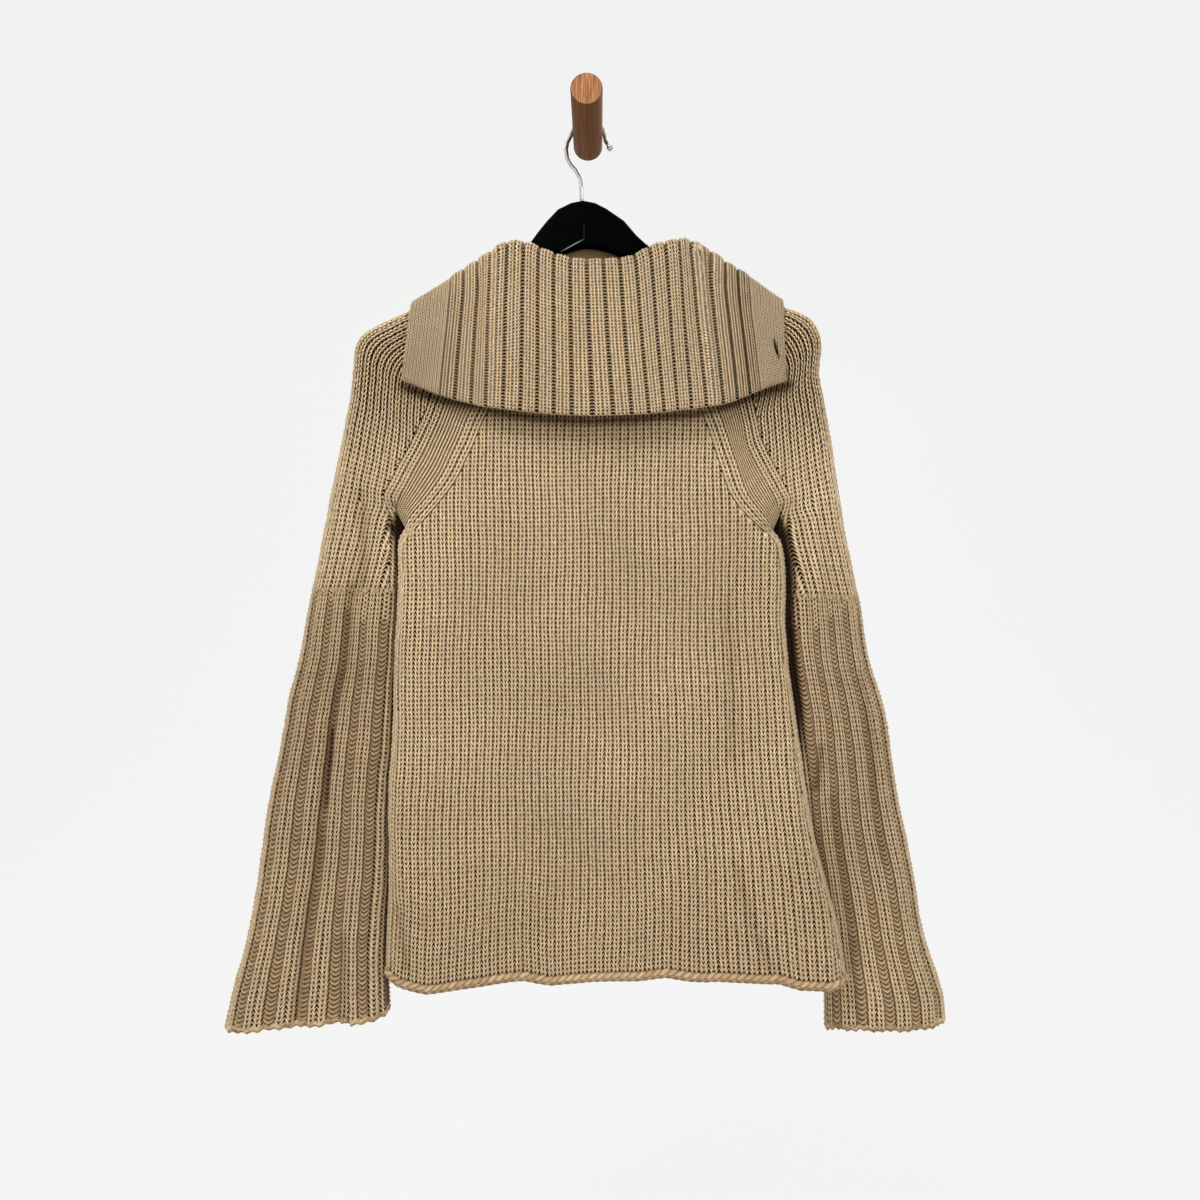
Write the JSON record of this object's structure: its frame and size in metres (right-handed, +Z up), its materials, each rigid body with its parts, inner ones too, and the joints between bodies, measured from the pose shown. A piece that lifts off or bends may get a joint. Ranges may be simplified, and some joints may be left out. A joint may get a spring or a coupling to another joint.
{
  "type": "flare sleeve sweater on a hanger and wall peg",
  "caption": "Chunky knitted raglan sweater with ribbed flared sleeves and a folded ribbed collar, hung flat on a black hanger that hooks over a wooden wall peg.",
  "frame": {"origin": "centre of the peg's wall face", "axes": "+Z up, +X to the right of someone facing the garment, +Y into the wall"},
  "size_m": [0.6887, 0.103, 0.8857],
  "materials": {
    "body_knit": "matt chunky stockinette and rib knit in marled oatmeal yarn",
    "collar_knit": "matt broad rib knit in marled oatmeal yarn",
    "black_lacquer": "smooth black lacquer",
    "steel": "plain bright wire",
    "oak": "oiled hardwood, end grain on the front face"
  },
  "bodies": {
    "root": {"front_panel": "body_knit", "back_panel": "body_knit", "sleeve_left": "body_knit", "sleeve_right": "body_knit", "raglan_front_left": "body_knit", "raglan_front_right": "body_knit", "raglan_back_left": "body_knit", "raglan_back_right": "body_knit", "hem_roll": "body_knit", "collar": "collar_knit", "collar_band_left": "collar_knit", "collar_band_right": "collar_knit", "hanger": "black_lacquer", "hook": "steel", "hook_tip": "steel", "peg": "oak"}
  },
  "joints": []
}
